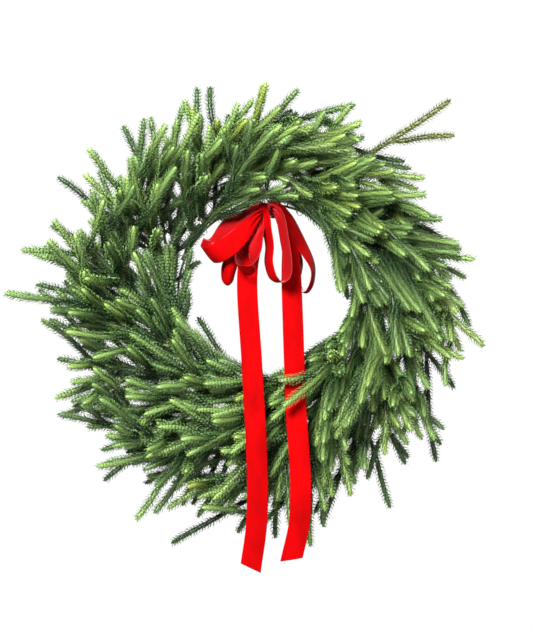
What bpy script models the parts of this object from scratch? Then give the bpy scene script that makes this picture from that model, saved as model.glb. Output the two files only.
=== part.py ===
"""Evergreen wreath with a ribbon bow, hanging on a wall hook.

Frame: metres, +Z up, the wreath faces -Y. The origin is the point where the hook holds
the hanging loop. A wire frame of two rails carries the sprigs, whose cut stems are bound
to it by one long wire. Every sprig lies clockwise round the ring. A velvet ribbon is tied
at the top of the inner rail.
"""

import functools
import math

import bmesh
import bpy
import numpy as np
from mathutils import Vector

# Wire frame
OUTER_RAIL_R = 0.150
INNER_RAIL_R = 0.113
RAIL_WIRE_R = 0.0016
RAIL_SEGMENTS = 40
CROSSBARS = 10
CROSSBAR_WIRE_R = 0.0011
MID_R = (OUTER_RAIL_R + INNER_RAIL_R) / 2

# Hanging loop: a link round the outer rail, whose inner top is the origin
LOOP_DROP = 0.028
LOOP_HALF_WIDTH = 0.0036
LOOP_WIRE_R = 0.0010
RING_Z = -LOOP_DROP - OUTER_RAIL_R

# Binding wire: a flattened helix round both rails and the cut stems
WRAP_TURNS = 21
WRAP_POINTS = 10
WRAP_HALF_WIDTH = 0.0245
WRAP_HALF_DEPTH = 0.0125
WRAP_Y = -0.0075
WRAP_SQUARENESS = 0.45
WRAP_WIRE_R = 0.0005
WRAP_PHASE = 0.25

# Sprigs
SEED = 4
STATIONS = 16
STEM_R = 0.0021
CLAD_R = 0.0042
TIP_R = 0.0017
BARE_STEM = 0.030
SIDE_SEGMENTS = 3
LEADER_SEGMENTS = 5
CLEARANCE = 0.0013
AMPLE_GAP = 0.0045
NEAR = 0.020
SAMPLE_STEP = 0.005
LEADER_TRIES = 700
SIDE_TRIES = 70
WALL_Y = 0.012
FRONT_Y = -0.140
BEHIND_TAILS_Y = -0.100
TAILS_X = 0.012
TAILS_HALF_WIDTH = 0.050

# Ribbon
RIBBON_WIDTH = 0.0254
RIBBON_THICKNESS = 0.0012
KNOT = Vector((-0.003, -0.050, 0.103))

GREEN = (0.055, 0.16, 0.055, 1)
STEEL = (0.05, 0.055, 0.05, 1)
RED = (0.75, 0.004, 0.006, 1)


# ---------------------------------------------------------------- helpers


def material(name, colour, roughness, metallic=0.0):
    made = bpy.data.materials.new(name)
    made.use_nodes = True
    shader = made.node_tree.nodes["Principled BSDF"]
    shader.inputs["Base Color"].default_value = colour
    shader.inputs["Roughness"].default_value = roughness
    shader.inputs["Metallic"].default_value = metallic
    made.diffuse_color = colour
    return made


def ring_point(angle, radius, y):
    """A point in the ring's own directions: angle anticlockwise from +X, seen from the front."""
    return Vector((radius * math.cos(angle), y, RING_Z + radius * math.sin(angle)))


def outward(angle):
    return Vector((math.cos(angle), 0, math.sin(angle)))


def clockwise(angle):
    return Vector((math.sin(angle), 0, -math.cos(angle)))


def link(obj, collection, surface):
    collection.objects.link(obj)
    obj.data.materials.clear()
    obj.data.materials.append(surface)
    return obj


def tube_mesh(name, points, radii, cyclic=False, resolution=0):
    """A closed tube along the points, as a mesh with welded caps."""
    curve = bpy.data.curves.new(name, "CURVE")
    curve.dimensions = "3D"
    curve.bevel_depth = 1.0
    curve.bevel_resolution = resolution
    curve.use_fill_caps = not cyclic
    spline = curve.splines.new("POLY")
    spline.points.add(len(points) - 1)
    for spot, point, radius in zip(spline.points, points, radii):
        spot.co = (*point, 1)
        spot.radius = radius
    spline.use_cyclic_u = cyclic
    holder = bpy.data.objects.new(name, curve)
    bpy.context.scene.collection.objects.link(holder)
    bpy.context.view_layer.update()
    evaluated = holder.evaluated_get(bpy.context.evaluated_depsgraph_get())
    mesh = bpy.data.meshes.new_from_object(evaluated)
    bpy.data.objects.remove(holder)
    shell = bmesh.new()
    shell.from_mesh(mesh)
    bmesh.ops.remove_doubles(shell, verts=shell.verts, dist=1e-6)
    bmesh.ops.recalc_face_normals(shell, faces=shell.faces)
    shell.to_mesh(mesh)
    shell.free()
    mesh.name = name
    return mesh


def union(name, meshes):
    """One body from meshes that cross."""
    pieces = bpy.data.collections.new(name + "_pieces")
    bpy.context.scene.collection.children.link(pieces)
    base = bpy.data.objects.new(name + "_base", meshes[0])
    bpy.context.scene.collection.objects.link(base)
    for mesh in meshes[1:]:
        pieces.objects.link(bpy.data.objects.new(mesh.name, mesh))
    joiner = base.modifiers.new("join", "BOOLEAN")
    joiner.operation = "UNION"
    joiner.solver = "EXACT"
    joiner.operand_type = "COLLECTION"
    joiner.collection = pieces
    bpy.context.view_layer.update()
    evaluated = base.evaluated_get(bpy.context.evaluated_depsgraph_get())
    mesh = bpy.data.meshes.new_from_object(evaluated)
    for piece in list(pieces.objects):
        bpy.data.objects.remove(piece)
    bpy.data.collections.remove(pieces)
    bpy.data.objects.remove(base)
    mesh.name = name
    return mesh


# ---------------------------------------------------------------- wire


def rail_mesh(name, radius):
    bpy.ops.mesh.primitive_torus_add(
        major_radius=radius, minor_radius=RAIL_WIRE_R,
        major_segments=RAIL_SEGMENTS, minor_segments=6,
        location=(0, 0, RING_Z), rotation=(math.pi / 2, 0, 0),
    )
    rail = bpy.context.object
    rail.data.transform(rail.matrix_world)
    mesh = rail.data.copy()
    bpy.data.objects.remove(rail)
    mesh.name = name
    return mesh


def crossbar_ends(index):
    """A short bar welded from rail to rail, halfway between two of the rails' corners."""
    angle = 2 * math.pi * (index / CROSSBARS + 0.5 / RAIL_SEGMENTS)
    return [ring_point(angle, INNER_RAIL_R, 0), ring_point(angle, OUTER_RAIL_R, 0)]


def wire_frame(room):
    """Two round rails and the bars between them, as one welded body."""
    meshes = [rail_mesh("outer_rail", OUTER_RAIL_R), rail_mesh("inner_rail", INNER_RAIL_R)]
    for radius in (INNER_RAIL_R, OUTER_RAIL_R):
        ring = [ring_point(a, radius, 0) for a in np.linspace(0, 2 * math.pi, 120)]
        room.take(*balls(ring, [RAIL_WIRE_R] * len(ring)))
    for index in range(CROSSBARS):
        ends = crossbar_ends(index)
        meshes.append(tube_mesh(f"crossbar_{index}", ends, [CROSSBAR_WIRE_R] * 2))
        room.take(*balls(ends, [CROSSBAR_WIRE_R] * 2))
    return union("wire_frame", meshes)


def wrap_path():
    """The binding wire's helix, which closes on itself after WRAP_TURNS turns."""
    path = []
    for step in range(WRAP_TURNS * WRAP_POINTS):
        turn = 2 * math.pi * (step + 0.5) / WRAP_POINTS
        ring_angle = 2 * math.pi * (step / WRAP_POINTS + WRAP_PHASE) / WRAP_TURNS + math.pi / 2
        across = math.copysign(abs(math.cos(turn)) ** WRAP_SQUARENESS, math.cos(turn))
        deep = math.copysign(abs(math.sin(turn)) ** WRAP_SQUARENESS, math.sin(turn))
        radius = MID_R + WRAP_HALF_WIDTH * across
        path.append(ring_point(ring_angle, radius, WRAP_Y + WRAP_HALF_DEPTH * deep))
    return path


def hanging_loop_path():
    """A long link in the YZ plane: its top hangs on the hook and its bottom holds the rail."""
    top = -LOOP_HALF_WIDTH + LOOP_WIRE_R
    bottom = RING_Z + OUTER_RAIL_R + LOOP_HALF_WIDTH - RAIL_WIRE_R - 2 * LOOP_WIRE_R
    path = []
    for step in range(12):
        angle = 2 * math.pi * (step + 0.5) / 12
        centre = top if math.sin(angle) > 0 else bottom
        path.append(Vector((0, LOOP_HALF_WIDTH * math.cos(angle),
                            centre + LOOP_HALF_WIDTH * math.sin(angle))))
    return path


# ---------------------------------------------------------------- ribbon


def smooth(rows, count):
    """count rows read from a Catmull-Rom curve through the given rows."""
    table = np.array(rows, float)
    ends = np.vstack([2 * table[0] - table[1], table, 2 * table[-1] - table[-2]])
    made = []
    for t in np.linspace(0, len(table) - 1, count):
        i = min(int(t), len(table) - 2)
        u = t - i
        a, b, c, d = ends[i:i + 4]
        made.append(0.5 * (2 * b + (c - a) * u + (2 * a - 5 * b + 4 * c - d) * u * u
                           + (3 * b - a - 3 * c + d) * u ** 3))
    return np.array(made)


# Each row: x, y, z from the ring's centre; the width's direction x, y, z; share of full width
TAIL_LEFT = (
    (-0.0070, -0.0450, 0.0860, 1.0, 0.1, -0.2, 0.5),
    (-0.0150, -0.0500, 0.0560, 1.0, 0.1, -0.1, 0.85),
    (-0.0241, -0.0600, 0.0090, 1.0, 0.0, 0.0, 1.0),
    (-0.0185, -0.0830, -0.0793, 1.0, 0.0, 0.1, 1.0),
    (-0.0159, -0.0990, -0.1231, 1.0, 0.0, 0.1, 1.0),
    (-0.0133, -0.1180, -0.1658, 1.0, 0.1, 0.0, 1.0),
    (-0.0109, -0.1260, -0.2218, 1.0, 0.1, 0.0, 1.0),
    (-0.0120, -0.1275, -0.2804, 1.0, 0.0, -0.1, 1.0),
    (-0.0190, -0.1260, -0.3330, 1.0, 0.0, -0.2, 1.0),
)
TAIL_RIGHT = (
    (0.0120, -0.0470, 0.0940, 0.6, 0.5, -0.5, 0.5),
    (0.0230, -0.0500, 0.0770, 0.7, 0.6, -0.3, 0.85),
    (0.0300, -0.0550, 0.0500, 0.85, 0.5, -0.1, 1.0),
    (0.0316, -0.0640, -0.0052, 1.0, 0.1, 0.0, 1.0),
    (0.0338, -0.0850, -0.0792, 1.0, 0.0, 0.0, 1.0),
    (0.0363, -0.1060, -0.1520, 1.0, 0.0, 0.0, 1.0),
    (0.0393, -0.1220, -0.1946, 1.0, -0.1, 0.0, 1.0),
    (0.0410, -0.1270, -0.2373, 1.0, -0.1, 0.0, 1.0),
    (0.0392, -0.1270, -0.2806, 1.0, 0.0, -0.1, 1.0),
    (0.0300, -0.1260, -0.3230, 1.0, 0.0, -0.2, 1.0),
)
LOOP_LEFT_OUTER = (
    (-0.0125, -0.0450, 0.1075, 0.2, 0.6, 0.8, 0.45),
    (-0.0282, -0.0400, 0.1009, 0.3, 0.5, 0.8, 0.75),
    (-0.0469, -0.0400, 0.0890, 0.35, 0.4, 0.85, 1.0),
    (-0.0670, -0.0440, 0.0690, 0.5, 0.3, 0.8, 1.0),
    (-0.0735, -0.0530, 0.0490, -0.5, 0.1, 0.8, 1.0),
    (-0.0640, -0.0700, 0.0465, -0.75, 0.0, 0.65, 1.0),
    (-0.0450, -0.0790, 0.0570, -0.5, 0.15, 0.85, 1.0),
    (-0.0280, -0.0800, 0.0730, -0.35, 0.2, 0.9, 0.8),
    (-0.0125, -0.0690, 0.0930, -0.1, 0.3, 0.9, 0.38),
)
LOOP_LEFT_LOWER = (
    (-0.0170, -0.0420, 0.0880, 0.8, 0.5, 0.3, 0.35),
    (-0.0320, -0.0420, 0.0620, 0.8, 0.5, 0.2, 0.6),
    (-0.0470, -0.0450, 0.0330, 0.9, 0.3, 0.1, 0.65),
    (-0.0485, -0.0520, 0.0150, 1.0, 0.2, 0.0, 0.65),
    (-0.0450, -0.0570, 0.0280, 1.0, 0.1, 0.1, 0.65),
    (-0.0380, -0.0560, 0.0500, 0.9, 0.2, 0.3, 0.55),
    (-0.0220, -0.0510, 0.0800, 0.7, 0.4, 0.5, 0.3),
)
LOOP_LEFT_INNER = (
    (-0.0060, -0.0660, 0.0880, -0.5, 0.6, 0.2, 0.4),
    (-0.0120, -0.0790, 0.0680, -0.7, 0.65, -0.1, 0.85),
    (-0.0145, -0.0840, 0.0480, -0.6, 0.75, -0.25, 1.0),
    (-0.0190, -0.0850, 0.0310, -0.1, 0.83, -0.5, 1.0),
    (-0.0290, -0.0780, 0.0270, 0.3, 0.83, -0.4, 1.0),
    (-0.0330, -0.0700, 0.0420, 0.3, 0.9, -0.1, 0.8),
    (-0.0260, -0.0660, 0.0660, 0.1, 0.9, 0.2, 0.5),
    (-0.0130, -0.0600, 0.0850, 0.0, 0.9, 0.2, 0.3),
)
LOOP_RIGHT_INNER = (
    (0.0000, -0.0660, 0.0920, -0.4, 0.9, 0.0, 0.6),
    (0.0010, -0.0760, 0.0770, -0.4, 0.9, 0.0, 0.95),
    (0.0040, -0.0820, 0.0560, -0.4, 0.9, 0.0, 1.0),
    (0.0030, -0.0840, 0.0360, -0.4, 0.9, 0.0, 1.0),
    (0.0080, -0.0850, 0.0190, -0.4, 0.9, 0.0, 1.0),
    (0.0175, -0.0850, 0.0130, -0.4, 0.9, 0.0, 1.0),
    (0.0250, -0.0850, 0.0210, -0.4, 0.9, 0.0, 1.0),
    (0.0255, -0.0830, 0.0400, -0.4, 0.9, 0.0, 1.0),
    (0.0215, -0.0780, 0.0660, -0.4, 0.9, 0.0, 1.0),
    (0.0165, -0.0720, 0.0920, -0.4, 0.9, 0.0, 0.95),
    (0.0080, -0.0640, 0.1050, -0.4, 0.9, 0.0, 0.55),
)
LOOP_RIGHT_OUTER = (
    (0.0130, -0.0370, 0.1080, 0.4, 0.8, 0.5, 0.4),
    (0.0310, -0.0340, 0.0920, 0.4, 0.8, 0.5, 0.8),
    (0.0450, -0.0380, 0.0640, 0.4, 0.8, 0.4, 1.0),
    (0.0560, -0.0460, 0.0340, 0.4, 0.85, 0.3, 1.0),
    (0.0570, -0.0500, 0.0140, 0.4, 0.9, 0.0, 1.0),
    (0.0520, -0.0500, 0.0020, 0.3, 0.9, -0.3, 1.0),
    (0.0480, -0.0450, 0.0130, 0.3, 0.9, 0.0, 1.0),
    (0.0450, -0.0350, 0.0420, 0.4, 0.8, 0.3, 0.8),
    (0.0180, -0.0310, 0.0920, 0.4, 0.8, 0.4, 0.35),
)
RIBBON_STRIPS = {
    "ribbon_tail_left": (TAIL_LEFT, 16, 0.008),
    "ribbon_tail_right": (TAIL_RIGHT, 16, -0.010),
    "ribbon_loop_left_outer": (LOOP_LEFT_OUTER, 14, 0),
    "ribbon_loop_left_lower": (LOOP_LEFT_LOWER, 12, 0),
    "ribbon_loop_left_inner": (LOOP_LEFT_INNER, 14, 0),
    "ribbon_loop_right_inner": (LOOP_RIGHT_INNER, 16, 0),
    "ribbon_loop_right_outer": (LOOP_RIGHT_OUTER, 16, 0),
}


def strip_sections(rows, count, slant):
    """Left and right edge points of a ribbon strip; slant lengthens one edge at its cut end."""
    sections = []
    table = smooth(rows, count)
    for index, row in enumerate(table):
        centre = Vector(row[:3]) + Vector((0, 0, RING_Z))
        before, after = table[max(index - 1, 0)], table[min(index + 1, count - 1)]
        along = Vector(after[:3]) - Vector(before[:3])
        along.normalize()
        across = Vector(row[3:6])
        across -= along * across.dot(along)
        across.normalize()
        half = across * RIBBON_WIDTH / 2 * min(row[6], 1.0)
        shift = along * (slant / 2 if index == count - 1 else 0)
        sections.append((centre - half - shift, centre + half + shift))
    return sections


def strip_object(name, sections):
    shell = bmesh.new()
    rows = [[shell.verts.new(p) for p in (a, (a + b) / 2, b)] for a, b in sections]
    for low, high in zip(rows, rows[1:]):
        for i in range(2):
            shell.faces.new((low[i], low[i + 1], high[i + 1], high[i]))
    mesh = bpy.data.meshes.new(name)
    shell.to_mesh(mesh)
    shell.free()
    strip = bpy.data.objects.new(name, mesh)
    thick = strip.modifiers.new("thickness", "SOLIDIFY")
    thick.thickness = RIBBON_THICKNESS
    thick.offset = 0
    return strip


def knot_object():
    """The ribbon's knot: a small rounded block with a band that runs back over the inner rail."""
    shell = bmesh.new()
    bmesh.ops.create_cube(shell, size=1)
    bmesh.ops.scale(shell, vec=(0.013, 0.013, 0.016), verts=shell.verts)
    mesh = bpy.data.meshes.new("ribbon_knot")
    shell.to_mesh(mesh)
    shell.free()
    knot = bpy.data.objects.new("ribbon_knot", mesh)
    knot.location = KNOT + Vector((0, 0, RING_Z))
    rounded = knot.modifiers.new("rounded", "BEVEL")
    rounded.width = 0.004
    rounded.segments = 2
    return knot


# ---------------------------------------------------------------- sprigs


class Room:
    """The space taken so far, as balls along every piece."""

    def __init__(self):
        self.centres = np.zeros((0, 3))
        self.radii = np.zeros(0)

    def take(self, centres, radii):
        self.centres = np.vstack([self.centres, centres])
        self.radii = np.concatenate([self.radii, radii])

    def gap(self, centres, radii):
        """The least distance from new balls to those already there, up to NEAR."""
        low, high = centres.min(0) - NEAR, centres.max(0) + NEAR
        near = ((self.centres > low) & (self.centres < high)).all(1)
        if not near.any():
            return NEAR
        apart = np.linalg.norm(centres[:, None] - self.centres[None, near], axis=2)
        return (apart - radii[:, None] - self.radii[None, near]).min()


def balls(points, radii):
    """Balls SAMPLE_STEP apart along a polyline with a radius at each point."""
    points = np.array([tuple(p) for p in points], float)
    centres, sizes = [points[0]], [radii[0]]
    for a, b, ra, rb in zip(points, points[1:], radii, radii[1:]):
        count = max(1, math.ceil(np.linalg.norm(b - a) / SAMPLE_STEP))
        for step in range(1, count + 1):
            centres.append(a + (b - a) * step / count)
            sizes.append(ra + (rb - ra) * step / count)
    return np.array(centres), np.array(sizes)


def reach(angle):
    """How far from the ring's centre the tips come: further at the lower left."""
    return 0.268 + 0.034 * math.cos(angle - math.radians(245))


def hole(angle):
    """How near the ring's centre the tips come: the top is left open for the bow."""
    top = max(0.0, math.cos(angle - math.radians(78))) ** 2
    bottom = max(0.0, math.cos(angle - math.radians(275))) ** 2
    return 0.086 + 0.028 * top + 0.024 * bottom


def twig(start, heading, bend, length, segments):
    """Points of a twig that leaves start along heading and turns towards bend."""
    way = heading.normalized()
    made = []
    for step in range(segments + 1):
        t = step / segments
        made.append(start + length * (way * t + bend * (t * t / 2)))
    return made


def inside(points, spare):
    """Whether a twig stays in the wreath: off the wall, out of the hole, behind the tails
    and within reach, which spare stretches."""
    for point in points:
        away = Vector((point.x, point.z - RING_Z))
        angle = math.atan2(away.y, away.x)
        behind_tails = abs(point.x - TAILS_X) < TAILS_HALF_WIDTH and away.y < -INNER_RAIL_R / 2
        front = BEHIND_TAILS_Y if behind_tails else FRONT_Y
        if not front < point.y < WALL_Y - CLAD_R or away.length < hole(angle):
            return False
    return away.length < reach(angle) * spare


# Kind: heading's outward angle and forward angle, bend outward, length, place in the bundle
KINDS = {
    "outer": dict(out=(22, 44), front=(-4, 16), bend=(-0.35, 0.10), size=(0.175, 0.220),
                  offset=0.012, depth=-0.0075, lean=0.50),
    "front": dict(out=(4, 34), front=(20, 40), bend=(-0.45, 0.05), size=(0.160, 0.205),
                  offset=0.001, depth=-0.0125, lean=0.10),
    "inner": dict(out=(-12, 14), front=(6, 30), bend=(-0.90, -0.30), size=(0.120, 0.165),
                  offset=-0.011, depth=-0.0085, lean=-0.45),
}


def leader_path(rng, kind, angle):
    """A sprig's own stem, from its cut end in the bundle to its tip."""
    spec = KINDS[kind]
    angle += math.radians(rng.uniform(-10, 10))
    radius = MID_R + spec["offset"] + rng.uniform(-0.007, 0.007)
    start = ring_point(angle, radius, spec["depth"] + rng.uniform(-0.0035, 0.0035))
    out = math.radians(rng.uniform(*spec["out"]))
    front = math.radians(rng.uniform(*spec["front"]))
    heading = clockwise(angle) * math.cos(out) + outward(angle) * math.sin(out)
    heading = heading * math.cos(front) + Vector((0, -1, 0)) * math.sin(front)
    ahead = angle - 0.6
    bend = outward(ahead) * rng.uniform(*spec["bend"]) + Vector((0, 1, 0)) * rng.uniform(0, 0.5)
    length = rng.uniform(*spec["size"]) * (1 + 0.12 * math.cos(angle - math.radians(260)))
    return twig(start, heading, bend, length, LEADER_SEGMENTS)


def leader_radii():
    return [STEM_R, CLAD_R * 0.8] + [CLAD_R] * (LEADER_SEGMENTS - 2) + [TIP_R]


def side_radii():
    return [STEM_R] + [CLAD_R] * (SIDE_SEGMENTS - 1) + [TIP_R]


def best_of(rng, room, draw, radii, tries):
    """The first drawn twig with ample room, else the roomiest, or None when none is clear."""
    best, most = None, CLEARANCE
    spare = 1 + 0.16 * rng.random() ** 3
    for _ in range(tries):
        path = draw(rng)
        if not inside(path, spare):
            continue
        gap = room.gap(*balls(path, radii))
        if gap > most:
            best, most = path, gap
        if gap > AMPLE_GAP:
            break
    return best


def along_path(path, share):
    """The point and direction at a share of a polyline."""
    place = share * (len(path) - 1)
    index = min(int(place), len(path) - 2)
    step = path[index + 1] - path[index]
    return path[index] + step * (place - index), step.normalized()


def side_drawer(leader, kind, share, side):
    spec = KINDS[kind]
    start, forward = along_path(leader, share)
    away = Vector((start.x, 0, start.z - RING_Z)).normalized()
    face = (Vector((0, -1, 0)) + away * spec["lean"]).normalized()
    across = forward.cross(face).normalized() * side

    def draw(rng):
        spread = math.radians(rng.uniform(24, 52))
        lift = rng.uniform(-0.30, 0.45)
        heading = forward * math.cos(spread) + (across + face * lift).normalized() * math.sin(spread)
        bend = forward * rng.uniform(0.1, 0.7) + face * rng.uniform(-0.2, 0.15)
        length = rng.uniform(0.095, 0.140) * (1.08 - 0.35 * share)
        return twig(start, heading, bend, length, SIDE_SEGMENTS)

    return draw


def grow_sprig(rng, room, kind, angle):
    """The twigs of one sprig: its leader first, then side twigs on alternate sides."""
    draw = functools.partial(leader_path, kind=kind, angle=angle)
    leader = best_of(rng, room, draw, leader_radii(), LEADER_TRIES)
    if leader is None:
        return None
    twigs = [leader]
    side = 1 if rng.random() < 0.5 else -1
    share = BARE_STEM / 0.18
    while share < 0.80:
        path = best_of(rng, room, side_drawer(leader, kind, share, side), side_radii(), SIDE_TRIES)
        if path is not None:
            twigs.append(path)
        side = -side
        share += rng.uniform(0.070, 0.105)
    take_sprig(room, twigs)
    return twigs


def placed_sprigs():
    """The two sprigs with a place of their own: one lies over the right tail, and one strays
    past the others at the upper right. Each has a leader and one side twig."""
    start = ring_point(math.radians(-35), 0.128, -0.012)
    over = twig(start, Vector((-0.22, -0.96, -0.18)), Vector((-0.56, 0.53, -0.40)),
                0.170, LEADER_SEGMENTS)
    beside = twig(over[3], Vector((-0.80, -0.55, 0.05)), Vector((-0.3, 0.6, -0.3)),
                  0.052, SIDE_SEGMENTS)
    start = ring_point(math.radians(74), 0.134, -0.009)
    stray = twig(start, Vector((0.90, -0.20, 0.36)), Vector((-0.1, 0.1, 0.28)),
                 0.225, LEADER_SEGMENTS)
    fork = twig(stray[3], Vector((0.97, -0.20, 0.10)), Vector((0, 0.1, 0)),
                0.082, SIDE_SEGMENTS)
    return {"sprig_over_tail": [over, beside], "sprig_stray": [stray, fork]}


def take_sprig(room, twigs):
    for index, path in enumerate(twigs):
        room.take(*balls(path, leader_radii() if index == 0 else side_radii()))


def grow_all(room):
    rng = np.random.default_rng(SEED)
    sprigs = placed_sprigs()
    for twigs in sprigs.values():
        take_sprig(room, twigs)
    for station in range(STATIONS):
        for rank, kind in enumerate(KINDS):
            angle = math.pi / 2 - 2 * math.pi * (station + rank / 3) / STATIONS
            twigs = grow_sprig(rng, room, kind, angle)
            if twigs:
                sprigs[f"sprig_{kind}_{station + 1:02d}"] = twigs
    return sprigs


def sprig_mesh(name, twigs):
    meshes = []
    for index, path in enumerate(twigs):
        radii = leader_radii() if index == 0 else side_radii()
        meshes.append(tube_mesh(f"{name}_{index}", path, radii))
    return union(name, meshes)


# ---------------------------------------------------------------- assembly


def main():
    for old in list(bpy.data.objects):
        bpy.data.objects.remove(old)
    wreath = bpy.data.collections.new("evergreen_wreath")
    bpy.context.scene.collection.children.link(wreath)
    steel = material("dark_wire", STEEL, 0.45, 0.8)
    velvet = material("red_velvet", RED, 0.85)
    room = Room()

    link(bpy.data.objects.new("wire_frame", wire_frame(room)), wreath, steel)
    wrap = wrap_path()
    wrap_mesh = tube_mesh("binding_wire", wrap, [WRAP_WIRE_R] * len(wrap), cyclic=True)
    link(bpy.data.objects.new("binding_wire", wrap_mesh), wreath, steel)
    room.take(*balls(wrap + wrap[:1], [WRAP_WIRE_R] * (len(wrap) + 1)))
    loop = hanging_loop_path()
    loop_mesh = tube_mesh("hanging_loop", loop, [LOOP_WIRE_R] * len(loop), cyclic=True, resolution=1)
    link(bpy.data.objects.new("hanging_loop", loop_mesh), wreath, steel)
    room.take(*balls(loop + loop[:1], [LOOP_WIRE_R] * (len(loop) + 1)))

    link(knot_object(), wreath, velvet)
    room.take(np.array([tuple(KNOT + Vector((0, 0, RING_Z)))]), np.array([0.012]))
    for name, (rows, count, slant) in RIBBON_STRIPS.items():
        link(strip_object(name, strip_sections(rows, count, slant)), wreath, velvet)
        for left, right in strip_sections(rows, 4 * count, slant):
            spots = [left.lerp(right, share) for share in (0, 0.25, 0.5, 0.75, 1)]
            room.take(*balls(spots, [0.0045] * 5))

    for name, twigs in grow_all(room).items():
        green = material(name + "_needles", GREEN, 0.6)
        link(bpy.data.objects.new(name, sprig_mesh(name, twigs)), wreath, green)


main()
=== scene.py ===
"""The looks of the evergreen wreath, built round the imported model: needle-clad sprigs on a
wire ring, and a velvet bow. The sprigs, wires and ribbon follow the same rules and driving
dimensions as the model's solids, so each piece lies where its solid does."""
import functools
import math

import bmesh
import bpy
import numpy as np
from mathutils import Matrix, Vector


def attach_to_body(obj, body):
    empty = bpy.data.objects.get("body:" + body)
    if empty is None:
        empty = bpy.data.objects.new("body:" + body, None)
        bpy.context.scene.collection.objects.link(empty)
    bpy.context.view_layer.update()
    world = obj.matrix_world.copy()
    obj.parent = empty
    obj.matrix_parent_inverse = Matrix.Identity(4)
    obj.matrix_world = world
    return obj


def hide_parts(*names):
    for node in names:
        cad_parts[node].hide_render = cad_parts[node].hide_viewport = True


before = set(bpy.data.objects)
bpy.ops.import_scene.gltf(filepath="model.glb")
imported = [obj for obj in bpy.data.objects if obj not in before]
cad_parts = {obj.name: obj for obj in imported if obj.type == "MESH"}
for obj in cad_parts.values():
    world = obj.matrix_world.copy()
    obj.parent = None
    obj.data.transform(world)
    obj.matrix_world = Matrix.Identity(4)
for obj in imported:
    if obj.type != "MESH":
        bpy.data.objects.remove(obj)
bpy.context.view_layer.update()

# Wire frame
OUTER_RAIL_R = 0.150
INNER_RAIL_R = 0.113
RAIL_WIRE_R = 0.0016
RAIL_SEGMENTS = 40
CROSSBARS = 10
CROSSBAR_WIRE_R = 0.0011
MID_R = (OUTER_RAIL_R + INNER_RAIL_R) / 2

# Hanging loop: a link round the outer rail, whose inner top is the origin
LOOP_DROP = 0.028
LOOP_HALF_WIDTH = 0.0036
LOOP_WIRE_R = 0.0010
RING_Z = -LOOP_DROP - OUTER_RAIL_R

# Binding wire: a flattened helix round both rails and the cut stems
WRAP_TURNS = 21
WRAP_POINTS = 10
WRAP_HALF_WIDTH = 0.0245
WRAP_HALF_DEPTH = 0.0125
WRAP_Y = -0.0075
WRAP_SQUARENESS = 0.45
WRAP_WIRE_R = 0.0005
WRAP_PHASE = 0.25

# Sprigs
SEED = 4
STATIONS = 16
STEM_R = 0.0021
CLAD_R = 0.0042
TIP_R = 0.0017
BARE_STEM = 0.030
SIDE_SEGMENTS = 3
LEADER_SEGMENTS = 5
CLEARANCE = 0.0013
AMPLE_GAP = 0.0045
NEAR = 0.020
SAMPLE_STEP = 0.005
LEADER_TRIES = 700
SIDE_TRIES = 70
WALL_Y = 0.012
FRONT_Y = -0.140
BEHIND_TAILS_Y = -0.100
TAILS_X = 0.012
TAILS_HALF_WIDTH = 0.050

# Ribbon
RIBBON_WIDTH = 0.0254
RIBBON_THICKNESS = 0.0012
KNOT = Vector((-0.003, -0.050, 0.103))
KNOT_CENTRE = (KNOT.x, KNOT.y, KNOT.z + RING_Z)
KNOT_ROOM_R = 0.012
STRIP_ROOM_R = 0.0045

# Needles: rings of RANKS round a twig. Each needle starts CORE_R off the twig's line, and
# its curve gives its base, middle and tip as shares of its length outward and forward
RANKS = 9
RANK_PITCH = 0.0040
RANK_TWIST = math.radians(1.3)
NEEDLE_LENGTH = 0.0073
NEEDLE_WIDTH = 0.0018
NEEDLE_CURVE = ((0.0, 0.0), (0.48, 0.25), (0.78, 0.62))
CORE_R = 0.0020
CLAD_CORE_R = 0.0031
CORE_SIDES = 8
PLACE_JITTER = 0.0003
TURN_JITTER = 0.09
LEAN_JITTER = 0.10
SIZE_RANGE = (0.86, 1.14)
START_FADE = 0.012
TIP_FADE = 0.014
NEEDLE_RINGS = (0.0, 0.5, 1.0)

# Twigs: waver, rows of points, and how far forward a twig has to lie to lose all its painted shade
TWIG_SWAY = 0.0012
LEADER_ROWS = 40
SIDE_ROWS = 28
PAINTED_SHADE_DEPTH = 0.070
SPRIG_TINT_SPREAD = 0.07
TWIG_TINT_SPREAD = 0.11

# Short shoots between the model's twigs. SHOOT_PRESS is the least gap, so its negative
# value lets a shoot sink that far into a neighbour; BOW_SPAN is the bow's place in x and z
SHOOT_SEED = 11
SHOOT_TRIES = 16
SHOOT_REACH = 0.92
SHOOT_CLOSER = 0.010
SHOOT_PRESS = -0.0012
SHOOT_LENGTHS = (0.040, 0.095)
INWARD_SHOOTS = 6
BACKWARD_SHOOTS = 5
FREE_SHOOTS = 6
BOW_SPAN = ((-0.088, 0.066), (-0.012, 0.112))

# Ribbon cloth: TUCK is how far a strip's root is drawn into the knot, and FULLER is the
# part of a strip's narrowing that shows as less width instead of as pleats
RIBBON_STEP = 0.0016
RIBBON_COLUMNS = 25
FEWEST_ROWS = 60
PLEATS = 2.5
PLEAT_DEPTH = 0.0026
PLEATED_SPAN = 0.030
TUCK = 0.55
FULLER = 0.85
CAMBER = 0.0014
CURL = 0.012
SELVEDGE_RISE = 0.00025
TAIL_RIPPLE = 0.0012
TAIL_WAVE = 0.014
SLANTED_ROWS = 8
KNOT_HALF = (0.0070, 0.0065, 0.0085)
KNOT_ROWS = 25
KNOT_COLUMNS = 48
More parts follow.
